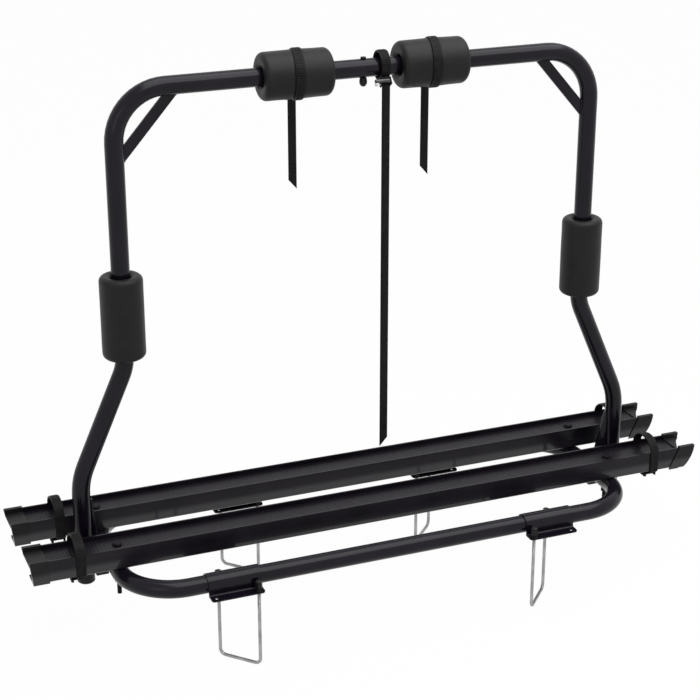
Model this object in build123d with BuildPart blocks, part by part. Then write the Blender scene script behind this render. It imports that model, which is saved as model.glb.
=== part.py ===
"""Drawbar bicycle rack.

Two capped wheel rails are bolted across a flat tubular loop. A tall bent hoop
stands between the rails and carries foam pads and straps. Four saddle clamps
on the loop hold U-bolts that grip the drawbar beams.

Axes: X runs along the rails, Y goes from the front tube to the rear tube, Z is
up. The origin is on the ground under the middle of the loop, where the lowest
points of the four U-bolts stand. Lengths are in millimetres.
"""
import os
from math import atan2, cos, degrees, hypot, radians, sin, tan

from build123d import *

os.makedirs("parts", exist_ok=True)

# Steel tube shared by the hoop and the base loop
tube_radius = 16.0
tube_wall = 1.5
seat_gap = 0.1

# Wheel rails
rail_overhang = 86.0
rail_width = 64.0
rail_height = 40.0
rail_wall = 2.0
rail_lip = 3.0
channel_depth = 8.0
rail_corner = 3.0
rail_bottom_z = 180.0
rail_spacing = 154.4
rails_y = 27.0

# End caps of the rails
cap_nose = 33.0
cap_plug = 16.0
cap_skirt = 21.0
cap_wall = 2.2
cap_fit = 0.1
cap_rake = 24.0
cap_tilt = 5.0
cap_notch = 6.0

# Base loop under the rails
left_foot_step = 41.0
right_foot_step = 56.0
loop_half_depth = 158.0
loop_bend = 96.0

# Hoop
hoop_y = 28.0
hoop_half_width = 440.5
hoop_foot_half_width = 531.0
hoop_top_z = 991.6
hoop_foot_z = 108.5
hoop_corner_radius = 90.0
hoop_low_kink_z = 307.0
hoop_high_kink_z = 510.0
hoop_low_bend = 130.0
hoop_high_bend = 90.0

# Welded braces across the top corners of the hoop
brace_drop = 91.0
brace_run = 80.0
brace_width = 19.0
brace_thickness = 4.0
weld_gap = 0.3

# Foot brackets between the hoop and the loop
bracket_depth = 28.0
bracket_taper_z = 212.0
bracket_top_z = 280.0
bracket_tip = 3.0
bracket_shelf = 26.0
bracket_shelf_reach = 14.0
bracket_round = 8.0

# Foam pads
leg_pad_length = 148.0
top_pad_length = 124.0
pad_wall = 25.0
leg_pad_wall = 21.5
pad_bore_gap = 0.3
pad_edge = 6.0
top_pad_x = 125.0
leg_pad_z = 600.5

# Straps round the top pads
strap_thickness = 2.5
pad_strap_width = 16.5
pad_strap_offset = 3.4
pad_strap_skew = 9.0
strap_gap = 0.15
tail_width = 15.0
tail_thickness = 2.0
pad_tail_length = 214.0
pad_tail_offset = 7.0
tail_bevel = 17.0

# Middle strap on the top bar
middle_strap_x = 33.3
middle_strap_depth = 38.4
middle_strap_rise = 46.0
middle_strap_lift = 3.4
middle_strap_bulge = 2.0
middle_tail_length = 674.0
middle_lean = 125.0
middle_seat = 25.7
middle_buckle_height = 13.0
middle_buckle_width = 19.0
middle_buckle_length = 16.0
middle_bar_reach = 19.5

# Buckles of the pad straps and the middle strap
buckle_width = 26.0
buckle_length = 22.0
buckle_height = 7.0
buckle_floor = 1.8
buckle_lean = 56.0
lever_length = 17.0
lever_thickness = 2.5
lever_pin_radius = 1.6
pin_clearance = 0.08

# Wheel straps round the rails
wheel_strap_inset = 55.0
wheel_strap_width = 17.0
wheel_strap_rise = 23.0
wheel_strap_shoulder = 9.0
wheel_strap_corner = 5.0
wheel_buckle_width = 26.0
wheel_buckle_length = 26.0
wheel_buckle_height = 7.0
wheel_buckle_shift = 4.5

# Saddle clamps
clamp_length = 96.0
clamp_half_depth = 38.0
clamp_thickness = 2.5
clamp_fit = 0.05
clamp_bend = 3.0
clamp_hole_y = 29.5
clamp_front_hole_x = 38.0
clamp_rear_hole_x = 16.5
clamp_corner = 6.0
front_left_clamp_inset = 173.5
front_right_clamp_inset = 185.0
rear_left_clamp_inset = 278.0
rear_right_clamp_inset = 281.0

# U-bolts and their cap nuts
ubolt_radius = 3.0
ubolt_bend = 11.0
ubolt_hole_gap = 0.3
nut_height = 19.0
nut_radius = 5.6
nut_flange_radius = 7.5
nut_flange_height = 3.0

# Bolts that hold the rails on the loop
rail_bolt_radius = 4.0
rail_bolt_gap = 0.2
rail_bolt_head_radius = 8.5
rail_bolt_head_height = 4.0
rail_bolt_tail = 31.0
rail_nut_width = 13.0
rail_nut_height = 7.0

# Bolt through the middle of the top bar
hoop_bolt_radius = 3.0
hoop_bolt_head_radius = 5.2
hoop_bolt_head_height = 3.0
knob_radius = 6.5
knob_height = 16.0
knob_clearance = 0.06
knob_gap = 0.3

# Plugs in the feet of the hoop
plug_length = 14.0
plug_rim = 4.0
plug_edge = 2.4

# Sizes that follow
rail_length = 2 * (hoop_foot_half_width + rail_overhang)
wheel_strap_x = rail_length / 2 - wheel_strap_inset
loop_left_x = left_foot_step - hoop_foot_half_width
loop_right_x = hoop_foot_half_width - right_foot_step
loop_z = rail_bottom_z - tube_radius - seat_gap
rail_floor_z = rail_bottom_z + rail_height - channel_depth
rail_top_z = rail_bottom_z + rail_height
front_rail_y = rails_y - rail_spacing / 2
rear_rail_y = rails_y + rail_spacing / 2
pad_radius = tube_radius + pad_wall
leg_pad_radius = tube_radius + leg_pad_wall
flange_bottom_z = loop_z - tube_radius - 0.9
flange_top_z = flange_bottom_z + clamp_thickness
saddle_radius = tube_radius + clamp_fit
saddle_outer = saddle_radius + clamp_thickness
bore_radius = tube_radius - tube_wall
rails = {"front": front_rail_y, "rear": rear_rail_y}
sides = {"left": -1, "right": 1}
loop_ends = {"left": loop_left_x, "right": loop_right_x}
loop_middle_x = (loop_left_x + loop_right_x) / 2


def keep(piece, label):
    """Name a finished piece and write it."""
    piece.part.label = label
    export_step(piece.part, f"parts/{label}.step")


def rail_outline(grow):
    """Outline of a rail's section, larger by grow on every side."""
    floor = rail_height - channel_depth
    with BuildSketch() as outline:
        with Locations((0, -grow)):
            Rectangle(rail_width + 2 * grow, rail_height + 2 * grow, align=(Align.CENTER, Align.MIN))
        fillet(outline.vertices().group_by(Axis.Y)[0], rail_corner)
        with Locations((0, floor + grow)):
            Rectangle(
                rail_width - 2 * rail_lip - 2 * grow,
                channel_depth + 1,
                align=(Align.CENTER, Align.MIN),
                mode=Mode.SUBTRACT,
            )
    return outline.sketch


def across(x, y, z):
    """Plane square to X at a point, with its own x along Y and its own y up."""
    return Plane(origin=(x, y, z), x_dir=(0, 1, 0), z_dir=(1, 0, 0))


# Wheel rails: a closed box section with a shallow channel along its top
for rail_name, rail_y in rails.items():
    with BuildPart() as rail:
        with BuildSketch(across(0, rail_y, rail_bottom_z)):
            add(rail_outline(0))
            with Locations((0, rail_wall)):
                Rectangle(
                    rail_width - 2 * rail_wall,
                    rail_height - channel_depth - 2 * rail_wall,
                    align=(Align.CENTER, Align.MIN),
                    mode=Mode.SUBTRACT,
                )
        extrude(amount=rail_length / 2, both=True)
        with Locations((loop_left_x, rail_y, rail_floor_z), (loop_right_x, rail_y, rail_floor_z)):
            Hole(rail_bolt_radius + rail_bolt_gap, depth=rail_height)
    keep(rail, f"{rail_name}_rail")

# End caps: a plug inside the rail, an open nose with two ears and a skirt on the leaning side
plug_width = rail_width - 2 * rail_wall - 2 * cap_fit
plug_height = rail_height - channel_depth - 2 * rail_wall - 2 * cap_fit
for rail_name, rail_y in rails.items():
    for side_name, side in sides.items():
        rail_end = side * (rail_length / 2 + cap_fit)
        cap_end = rail_end + side * cap_nose
        leaning_y = rail_y - side * (rail_width / 2 + cap_fit)
        with BuildPart() as cap:
            with BuildSketch(across(rail_end, rail_y, rail_bottom_z)):
                add(rail_outline(cap_wall))
            extrude(amount=side * (cap_nose + 1))
            with BuildSketch(across(rail_end, rail_y, rail_bottom_z)):
                with Locations((0, rail_wall + cap_fit)):
                    Rectangle(plug_width, plug_height, align=(Align.CENTER, Align.MIN))
            extrude(amount=-side * cap_plug)
            with BuildSketch(across(rail_end - side * cap_plug, rail_y, rail_bottom_z)):
                with Locations((0, rail_wall + cap_fit + cap_wall)):
                    Rectangle(
                        plug_width - 2 * cap_wall,
                        plug_height - 2 * cap_wall,
                        align=(Align.CENTER, Align.MIN),
                    )
            extrude(amount=side * (cap_plug + cap_nose + 2), mode=Mode.SUBTRACT)
            with BuildSketch(Plane.XZ.offset(-leaning_y)):
                with BuildLine():
                    Polyline(
                        (rail_end, rail_top_z),
                        (rail_end, rail_bottom_z - cap_wall),
                        (rail_end - side * cap_skirt, rail_bottom_z - cap_wall),
                        close=True,
                    )
                make_face()
            extrude(amount=side * (cap_wall - 2 * cap_fit))
            with BuildSketch(Plane.XY.offset(rail_floor_z - 2 * cap_wall - rail_wall - cap_fit)):
                with BuildLine():
                    ear_reach = rail_width / 2 - rail_lip - cap_wall - 0.5
                    Polyline(
                        (cap_end - side * cap_notch, rail_y + side * ear_reach),
                        (rail_end + side * cap_fit, rail_y - side * ear_reach),
                        (cap_end + 3 * side, rail_y - side * ear_reach),
                        (cap_end + 3 * side, rail_y + side * ear_reach),
                        close=True,
                    )
                make_face()
            extrude(amount=2 * channel_depth, mode=Mode.SUBTRACT)
            with BuildSketch(Plane.XZ.offset(-rail_y)):
                with BuildLine():
                    nose_top = (cap_end, rail_top_z + cap_wall + 1)
                    nose_bottom = (cap_end - side * cap_rake, rail_bottom_z - cap_wall - 1)
                    ThreePointArc(
                        nose_top,
                        (cap_end - side * 0.3 * cap_rake, rail_bottom_z + 0.42 * rail_height),
                        nose_bottom,
                    )
                    Polyline(
                        nose_bottom,
                        (cap_end + 3 * side, rail_bottom_z - cap_wall - 1),
                        (cap_end + 3 * side, rail_top_z + cap_wall + 1),
                        nose_top,
                    )
                make_face()
            extrude(amount=side * (rail_width / 2 + 2 * cap_wall), mode=Mode.SUBTRACT)
            with BuildSketch(Plane.XZ.offset(-rail_y)):
                with BuildLine():
                    Polyline(
                        (cap_end, rail_top_z + cap_wall + 1),
                        (cap_end - side * cap_tilt, rail_bottom_z - cap_wall - 1),
                        (cap_end + 3 * side, rail_bottom_z - cap_wall - 1),
                        (cap_end + 3 * side, rail_top_z + cap_wall + 1),
                        close=True,
                    )
                make_face()
            extrude(amount=-side * (rail_width / 2 + 2 * cap_wall), mode=Mode.SUBTRACT)
        keep(cap, f"{rail_name}_rail_{side_name}_cap")

# Base loop: one closed ring of tube, swept as two halves
with BuildPart() as base_loop:
    for end_x in loop_ends.values():
        with BuildLine():
            FilletPolyline(
                (loop_middle_x, loop_half_depth, loop_z),
                (end_x, loop_half_depth, loop_z),
                (end_x, -loop_half_depth, loop_z),
                (loop_middle_x, -loop_half_depth, loop_z),
                radius=loop_bend,
            )
        with BuildSketch(across(loop_middle_x, loop_half_depth, loop_z)):
            Circle(tube_radius)
            Circle(bore_radius, mode=Mode.SUBTRACT)
        sweep()
    with Locations(*[(x, y, loop_z + tube_radius) for x in loop_ends.values() for y in rails.values()]):
        Hole(rail_bolt_radius + rail_bolt_gap, depth=2 * tube_radius)
keep(base_loop, "base_loop")

# Hoop: one tube from foot to foot, swept as two halves
with BuildPart() as hoop:
    with BuildLine() as half_hoop:
        FilletPolyline(
            (-hoop_foot_half_width, hoop_y, hoop_foot_z + plug_rim),
            (-hoop_foot_half_width, hoop_y, hoop_low_kink_z),
            (-hoop_half_width, hoop_y, hoop_high_kink_z),
            (-hoop_half_width, hoop_y, hoop_top_z),
            (0, hoop_y, hoop_top_z),
            radius=[hoop_low_bend, hoop_high_bend, hoop_corner_radius],
        )
    with BuildSketch(Plane((-hoop_foot_half_width, hoop_y, hoop_foot_z + plug_rim))):
        Circle(tube_radius)
        Circle(bore_radius, mode=Mode.SUBTRACT)
    sweep()
    mirror(about=Plane.YZ)
    with Locations((0, hoop_y, hoop_top_z + tube_radius)):
        Hole(hoop_bolt_radius + rail_bolt_gap, depth=2 * tube_radius)
keep(hoop, "hoop")

# Foot plugs: a stub inside the tube and a rim with a bevelled edge under it
for side_name, side in sides.items():
    with BuildPart() as foot_plug:
        with BuildSketch(Plane((side * hoop_foot_half_width, hoop_y, hoop_foot_z))):
            Circle(tube_radius)
        extrude(amount=plug_rim - seat_gap)
        chamfer(foot_plug.edges().sort_by(Axis.Z)[0], plug_edge)
        with BuildSketch(Plane((side * hoop_foot_half_width, hoop_y, hoop_foot_z + plug_rim - seat_gap))):
            Circle(bore_radius - pin_clearance)
        extrude(amount=plug_length)
    keep(foot_plug, f"{side_name}_foot_plug")

# Corner braces: flat strips between each leg and the top bar
inner_x = hoop_half_width - tube_radius - weld_gap
under_z = hoop_top_z - tube_radius - weld_gap
brace_angle = atan2(brace_drop, brace_run)
half_cut_z = brace_width / 2 / cos(brace_angle)
half_cut_x = brace_width / 2 / sin(brace_angle)
for side_name, side in sides.items():
    with BuildPart() as brace:
        with BuildSketch(Plane.XZ.offset(-hoop_y)):
            with BuildLine():
                Polyline(
                    (side * inner_x, under_z - brace_drop - half_cut_z),
                    (side * inner_x, under_z - brace_drop + half_cut_z),
                    (side * (inner_x - brace_run + half_cut_x), under_z),
                    (side * (inner_x - brace_run - half_cut_x), under_z),
                    close=True,
                )
            make_face()
        extrude(amount=brace_thickness / 2, both=True)
    keep(brace, f"{side_name}_corner_brace")

# Foot brackets: a tapered upright between the two tubes and a shelf under the loop
for side_name, side in sides.items():
    bracket_outer = hoop_foot_half_width - tube_radius - seat_gap
    bracket_inner = abs(loop_ends[side_name]) + tube_radius + seat_gap
    shelf_top = loop_z - tube_radius - seat_gap
    shelf_inner = bracket_inner - bracket_shelf_reach
    with BuildPart() as bracket:
        with BuildSketch(Plane.XZ.offset(-hoop_y)):
            with BuildLine():
                Polyline(
                    (side * bracket_outer, shelf_top - bracket_shelf),
                    (side * bracket_outer, bracket_top_z),
                    (side * (bracket_outer - bracket_tip), bracket_top_z),
                    (side * bracket_inner, bracket_taper_z),
                    (side * bracket_inner, shelf_top),
                    (side * shelf_inner, shelf_top),
                    (side * shelf_inner, shelf_top - bracket_shelf),
                    close=True,
                )
            make_face()
        extrude(amount=bracket_depth / 2, both=True)
        shelf_corner = bracket.edges().filter_by(Axis.Y).sort_by(Axis.Z)[0:2].sort_by(Axis.X)
        fillet(shelf_corner[-1] if side < 0 else shelf_corner[0], bracket_round)
    keep(bracket, f"{side_name}_foot_bracket")

# Foam pads on the top bar and on the legs
for side_name, side in sides.items():
    with BuildPart() as top_pad:
        with BuildSketch(across(side * top_pad_x, hoop_y, hoop_top_z)):
            Circle(pad_radius)
        extrude(amount=top_pad_length / 2, both=True)
        chamfer(top_pad.edges().filter_by(GeomType.CIRCLE), pad_edge)
        with BuildSketch(across(side * top_pad_x, hoop_y, hoop_top_z)):
            Circle(tube_radius + pad_bore_gap)
        extrude(amount=top_pad_length, both=True, mode=Mode.SUBTRACT)
    keep(top_pad, f"{side_name}_top_pad")
for side_name, side in sides.items():
    with BuildPart() as leg_pad:
        with BuildSketch(Plane((side * hoop_half_width, hoop_y, leg_pad_z))):
            Circle(leg_pad_radius)
        extrude(amount=leg_pad_length / 2, both=True)
        chamfer(leg_pad.edges().filter_by(GeomType.CIRCLE), pad_edge)
        with BuildSketch(Plane((side * hoop_half_width, hoop_y, leg_pad_z))):
            Circle(tube_radius + pad_bore_gap)
        extrude(amount=leg_pad_length, both=True, mode=Mode.SUBTRACT)
    keep(leg_pad, f"{side_name}_leg_pad")

# Bands of the pad straps, each cut from a ring by a slab turned a little about Z
band_radius = pad_radius + strap_gap
for side_name, side in sides.items():
    band_x = side * top_pad_x + pad_strap_offset
    with BuildPart() as band:
        with BuildSketch(across(band_x, hoop_y, hoop_top_z)):
            Circle(band_radius + strap_thickness)
            Circle(band_radius, mode=Mode.SUBTRACT)
        extrude(amount=2 * pad_strap_width, both=True)
        slab_normal = (cos(radians(pad_strap_skew)), -sin(radians(pad_strap_skew)), 0)
        with BuildSketch(Plane(origin=(band_x, hoop_y, hoop_top_z), x_dir=(0, 0, 1), z_dir=slab_normal)):
            Rectangle(4 * band_radius, 4 * band_radius)
        extrude(amount=pad_strap_width / 2, both=True, mode=Mode.INTERSECT)
    keep(band, f"{side_name}_pad_strap_band")


def leaning(x, lean, radius, centre_z):
    """Plane on a strap's round, turned by lean degrees down from the rear; its z points outwards."""
    out = (0, cos(radians(lean)), -sin(radians(lean)))
    place = (x, hoop_y + radius * out[1], centre_z + radius * out[2])
    return Plane(origin=place, x_dir=(1, 0, 0), z_dir=out)


# Buckles of the pad straps: an open frame with two ears and a turning lever
buckle_seat = band_radius + strap_thickness + strap_gap
for side_name, side in sides.items():
    band_x = side * top_pad_x + pad_strap_offset
    frame_plane = leaning(band_x, buckle_lean, buckle_seat, hoop_top_z)
    with BuildPart() as buckle:
        with BuildSketch(frame_plane):
            RectangleRounded(buckle_width, buckle_length, 2)
        extrude(amount=buckle_height)
        with BuildSketch(frame_plane.offset(buckle_floor)):
            Rectangle(buckle_width - 6, buckle_length)
        extrude(amount=buckle_height, mode=Mode.SUBTRACT)
        with BuildSketch(Plane.YZ.offset(band_x - buckle_width)):
            pin_place = frame_plane.from_local_coords((0, 0, buckle_height - lever_pin_radius - 1))
            with Locations((pin_place.Y, pin_place.Z)):
                Circle(lever_pin_radius + pin_clearance)
        extrude(amount=2 * buckle_width, mode=Mode.SUBTRACT)
    keep(buckle, f"{side_name}_pad_buckle")
    with BuildPart() as lever:
        pin_local = (0, 0, buckle_height - lever_pin_radius - 1)
        with BuildSketch(across(band_x, pin_place.Y, pin_place.Z)):
            Circle(lever_pin_radius)
        extrude(amount=buckle_width / 2, both=True)
        with BuildSketch(frame_plane.offset(pin_local[2] - lever_pin_radius)):
            with Locations((0, -lever_length / 2 + lever_pin_radius)):
                RectangleRounded(buckle_width - 7, lever_length, 1.2)
        extrude(amount=lever_thickness)
    keep(lever, f"{side_name}_pad_buckle_lever")

# Hanging tails of the pad straps, cut off at a slant
for side_name, side in sides.items():
    tail_x = side * top_pad_x + pad_strap_offset + pad_tail_offset
    tail_y = hoop_y + buckle_seat + tail_thickness / 2
    tail_top = hoop_top_z
    with BuildPart() as tail:
        with BuildSketch(Plane.XZ.offset(-tail_y)):
            with BuildLine():
                Polyline(
                    (tail_x - tail_width / 2, tail_top),
                    (tail_x + tail_width / 2, tail_top),
                    (tail_x + tail_width / 2, tail_top - pad_tail_length),
                    (tail_x - tail_width / 2, tail_top - pad_tail_length + tail_bevel),
                    close=True,
                )
            make_face()
        extrude(amount=tail_thickness / 2, both=True)
    keep(tail, f"{side_name}_pad_strap_tail")

# Middle strap: a stiff band standing on the bar, its buckle, lever and long tail
band_centre_y = hoop_y - middle_strap_bulge
band_centre_z = hoop_top_z + middle_strap_lift
with BuildPart() as middle_band:
    with BuildSketch(across(middle_strap_x, band_centre_y, band_centre_z)):
        Ellipse(middle_strap_depth / 2 + strap_thickness, middle_strap_rise / 2 + strap_thickness)
        Ellipse(middle_strap_depth / 2, middle_strap_rise / 2, mode=Mode.SUBTRACT)
    extrude(amount=pad_strap_width / 2, both=True)
keep(middle_band, "middle_strap_band")

middle_plane = leaning(middle_strap_x, middle_lean, middle_seat, band_centre_z)
with BuildPart() as middle_buckle:
    with BuildSketch(middle_plane):
        RectangleRounded(middle_buckle_width, middle_buckle_length, 2)
    extrude(amount=middle_buckle_height)
    with BuildSketch(middle_plane.offset(middle_buckle_height - 5.2)):
        Rectangle(middle_buckle_width - 6, buckle_length)
    extrude(amount=middle_buckle_height, mode=Mode.SUBTRACT)
    middle_pin = middle_plane.from_local_coords((0, 0, middle_buckle_height - lever_pin_radius - 1))
    with BuildSketch(Plane.YZ.offset(middle_strap_x - buckle_width)):
        with Locations((middle_pin.Y, middle_pin.Z)):
            Circle(lever_pin_radius + pin_clearance)
    extrude(amount=2 * buckle_width, mode=Mode.SUBTRACT)
keep(middle_buckle, "middle_buckle")
with BuildPart() as middle_lever:
    with BuildSketch(across(middle_strap_x - middle_bar_reach, middle_pin.Y, middle_pin.Z)):
        Circle(lever_pin_radius)
    extrude(amount=middle_bar_reach + middle_buckle_width / 2)
    with BuildSketch(across(middle_strap_x - middle_bar_reach, middle_pin.Y, middle_pin.Z)):
        Circle(lever_pin_radius + 1.2)
    extrude(amount=4)
    with BuildSketch(middle_plane.offset(middle_buckle_height - 2 * lever_pin_radius - 1)):
        with Locations((0, middle_buckle_length / 2 - lever_pin_radius)):
            RectangleRounded(middle_buckle_width - 7, middle_buckle_length - 3, 1.2)
    extrude(amount=lever_thickness)
keep(middle_lever, "middle_buckle_lever")

tail_y = middle_pin.Y
tail_top = middle_pin.Z - 4.5
with BuildPart() as middle_tail:
    with BuildSketch(Plane.XZ.offset(-tail_y)):
        with BuildLine():
            Polyline(
                (middle_strap_x - tail_width / 2, tail_top),
                (middle_strap_x + tail_width / 2, tail_top),
                (middle_strap_x + tail_width / 2, tail_top - middle_tail_length + tail_bevel),
                (middle_strap_x - tail_width / 2, tail_top - middle_tail_length),
                close=True,
            )
        make_face()
    extrude(amount=tail_thickness / 2, both=True)
keep(middle_tail, "middle_strap_tail")

# Bolt through the top bar and the cap nut under it
with BuildPart() as hoop_bolt:
    with BuildSketch(Plane((0, hoop_y, hoop_top_z + tube_radius))):
        RegularPolygon(hoop_bolt_head_radius, 6)
    extrude(amount=hoop_bolt_head_height)
    with BuildSketch(Plane((0, hoop_y, hoop_top_z + tube_radius))):
        Circle(hoop_bolt_radius)
    extrude(amount=-(2 * tube_radius + knob_height / 2))
keep(hoop_bolt, "hoop_bolt")
with BuildPart() as hoop_knob:
    knob_plane = Plane((0, hoop_y, hoop_top_z - tube_radius - knob_gap))
    with BuildSketch(knob_plane):
        Circle(knob_radius)
    extrude(amount=-knob_height)
    chamfer(hoop_knob.edges().sort_by(Axis.Z)[0], knob_radius * 0.5)
    with BuildSketch(knob_plane):
        Circle(hoop_bolt_radius + knob_clearance)
    extrude(amount=-(knob_height / 2 + 1), mode=Mode.SUBTRACT)
keep(hoop_knob, "hoop_knob")

# Wheel straps: a band over each rail end that arches above the channel
for rail_name, rail_y in rails.items():
    for side_name, side in sides.items():
        band_x = side * wheel_strap_x
        reach = rail_width / 2 + strap_gap + strap_thickness
        low_z = rail_bottom_z - strap_gap - strap_thickness
        high_z = rail_top_z + wheel_strap_shoulder
        corner = wheel_strap_corner
        bow = corner * (1 - cos(radians(45)))
        with BuildPart() as wheel_band:
            with BuildSketch(across(band_x, rail_y, 0)):
                with BuildLine() as band_line:
                    Line((-reach, low_z + corner), (-reach, high_z))
                    ThreePointArc((-reach, high_z), (0, rail_top_z + wheel_strap_rise), (reach, high_z))
                    Line((reach, high_z), (reach, low_z + corner))
                    ThreePointArc((reach, low_z + corner), (reach - bow, low_z + bow), (reach - corner, low_z))
                    Line((reach - corner, low_z), (corner - reach, low_z))
                    ThreePointArc((corner - reach, low_z), (bow - reach, low_z + bow), (-reach, low_z + corner))
                make_face()
                offset(amount=-strap_thickness, mode=Mode.SUBTRACT)
            extrude(amount=wheel_strap_width / 2, both=True)
        keep(wheel_band, f"{rail_name}_{side_name}_wheel_strap")

# Buckles under the wheel straps: a frame and a lever that drops down
for rail_name, rail_y in rails.items():
    for side_name, side in sides.items():
        buckle_x = side * wheel_strap_x - wheel_buckle_shift
        buckle_y = rail_y - rail_width / 2 + wheel_buckle_length / 2 + 2
        buckle_top = rail_bottom_z - strap_thickness - 2 * strap_gap
        pin_z = buckle_top - wheel_buckle_height + lever_pin_radius + 1
        pin_y = buckle_y + wheel_buckle_length / 2 - 5
        with BuildPart() as wheel_buckle:
            with BuildSketch(Plane((buckle_x, buckle_y, buckle_top))):
                RectangleRounded(wheel_buckle_width, wheel_buckle_length, 3)
            extrude(amount=-wheel_buckle_height)
            with BuildSketch(Plane((buckle_x, buckle_y, buckle_top - 1.6))):
                Rectangle(wheel_buckle_width - 8, wheel_buckle_length)
            extrude(amount=-wheel_buckle_height, mode=Mode.SUBTRACT)
            with BuildSketch(across(buckle_x - wheel_buckle_width, pin_y, pin_z)):
                Circle(lever_pin_radius + pin_clearance)
            extrude(amount=2 * wheel_buckle_width, mode=Mode.SUBTRACT)
        keep(wheel_buckle, f"{rail_name}_{side_name}_wheel_buckle")
        with BuildPart() as wheel_lever:
            with BuildSketch(across(buckle_x, pin_y, pin_z)):
                Circle(lever_pin_radius)
            extrude(amount=wheel_buckle_width / 2, both=True)
            with BuildSketch(Plane((buckle_x, pin_y + lever_pin_radius, pin_z - lever_pin_radius))):
                with Locations((0, -lever_length / 2)):
                    RectangleRounded(wheel_buckle_width - 9, lever_length, 1.2)
            extrude(amount=lever_thickness)
        keep(wheel_lever, f"{rail_name}_{side_name}_wheel_buckle_lever")

# Saddle clamps, U-bolts and cap nuts
clamps = {
    "front_left": (loop_left_x + front_left_clamp_inset, -loop_half_depth, -1),
    "front_right": (loop_right_x - front_right_clamp_inset, -loop_half_depth, 1),
    "rear_left": (loop_left_x + rear_left_clamp_inset, loop_half_depth, -1),
    "rear_right": (loop_right_x - rear_right_clamp_inset, loop_half_depth, 1),
}
for clamp_name, (clamp_x, clamp_y, side) in clamps.items():
    with BuildPart() as clamp:
        with BuildSketch(across(clamp_x, clamp_y, loop_z)) as omega:
            Circle(saddle_outer)
            Rectangle(2 * saddle_outer, loop_z - flange_bottom_z, align=(Align.CENTER, Align.MAX))
            with Locations((0, flange_bottom_z - loop_z)):
                Rectangle(2 * clamp_half_depth, clamp_thickness, align=(Align.CENTER, Align.MIN))
            Circle(saddle_radius, mode=Mode.SUBTRACT)
            Rectangle(
                2 * saddle_radius,
                2 * tube_radius,
                align=(Align.CENTER, Align.MAX),
                mode=Mode.SUBTRACT,
            )
        extrude(amount=clamp_length / 2, both=True)
        bends = clamp.edges().filter_by(Axis.X).filter_by_position(Axis.Z, flange_top_z - 0.01, flange_top_z + 0.01)
        fillet(bends.sort_by(Axis.Y)[1:3], clamp_bend)
        corners = clamp.edges().filter_by(Axis.Z).group_by(Axis.Y)
        fillet(corners[0] + corners[-1], clamp_corner)
        front_y = clamp_y - clamp_hole_y
        rear_y = clamp_y + clamp_hole_y
        with Locations(
            (clamp_x - clamp_front_hole_x, front_y, flange_top_z),
            (clamp_x + clamp_front_hole_x, front_y, flange_top_z),
            (clamp_x - clamp_rear_hole_x, rear_y, flange_top_z),
            (clamp_x + clamp_rear_hole_x, rear_y, flange_top_z),
        ):
            Hole(ubolt_radius + ubolt_hole_gap, depth=2 * clamp_thickness)
    keep(clamp, f"{clamp_name}_clamp")

    front_leg = Vector(clamp_x - side * clamp_front_hole_x, front_y)
    rear_leg = Vector(clamp_x + side * clamp_rear_hole_x, rear_y)
    thread_top = flange_top_z + nut_height - 4
    with BuildPart() as ubolt:
        with BuildLine():
            FilletPolyline(
                (front_leg.X, front_leg.Y, thread_top),
                (front_leg.X, front_leg.Y, ubolt_radius),
                (rear_leg.X, rear_leg.Y, ubolt_radius),
                (rear_leg.X, rear_leg.Y, thread_top),
                radius=ubolt_bend,
            )
        with BuildSketch(Plane((front_leg.X, front_leg.Y, thread_top))):
            Circle(ubolt_radius)
        sweep()
    keep(ubolt, f"{clamp_name}_ubolt")

    with BuildPart() as nuts:
        for leg in (front_leg, rear_leg):
            with BuildSketch(Plane((leg.X, leg.Y, flange_top_z + seat_gap))):
                Circle(nut_flange_radius)
            extrude(amount=nut_flange_height)
            with BuildSketch(Plane((leg.X, leg.Y, flange_top_z + seat_gap))):
                RegularPolygon(nut_radius, 6, major_radius=False)
            extrude(amount=nut_height)
            chamfer(nuts.faces().sort_by(Axis.Z)[-1].edges(), 1.5)
            with BuildSketch(Plane((leg.X, leg.Y, flange_top_z))):
                Circle(ubolt_radius + pin_clearance)
            extrude(amount=nut_height - 3, mode=Mode.SUBTRACT)
    keep(nuts, f"{clamp_name}_nuts")

# Bolts and nuts that hold the rails on the loop's ends
bolt_places = [(x, y) for x in loop_ends.values() for y in rails.values()]
with BuildPart() as rail_bolts:
    for bolt_x, bolt_y in bolt_places:
        with BuildSketch(Plane((bolt_x, bolt_y, rail_floor_z + 0.05))):
            Circle(rail_bolt_head_radius)
        head = extrude(amount=rail_bolt_head_height)
        chamfer(head.edges().sort_by(Axis.Z)[-1], rail_bolt_head_height * 0.45)
        with BuildSketch(Plane((bolt_x, bolt_y, loop_z - tube_radius - rail_bolt_tail))):
            Circle(rail_bolt_radius)
        extrude(until=Until.NEXT)
keep(rail_bolts, "rail_bolts")
with BuildPart() as rail_nuts:
    for bolt_x, bolt_y in bolt_places:
        with BuildSketch(Plane((bolt_x, bolt_y, loop_z - tube_radius - seat_gap))):
            RegularPolygon(rail_nut_width / 2, 6, major_radius=False)
            Circle(rail_bolt_radius + 0.05, mode=Mode.SUBTRACT)
        extrude(amount=-rail_nut_height)
keep(rail_nuts, "rail_nuts")
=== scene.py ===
"""Looks of a drawbar bicycle rack.

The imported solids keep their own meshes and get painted, plated and moulded
finishes. Foam pads, toothed straps, hanging tails, foot brackets and a knob
are modelled here in place of the plain solids, and cap floors, weld beads and
the bar of the middle lever are added. Lengths are in metres in the frame's
axes: X along the wheel rails, Y from the front tube to the rear tube, Z up.
"""
import logging
from dataclasses import dataclass
from enum import Enum
from math import cos, exp, hypot, pi, radians, sin
from typing import Callable, Iterable, Sequence

import bpy
from mathutils import Euler, Matrix, Vector, noise


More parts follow.
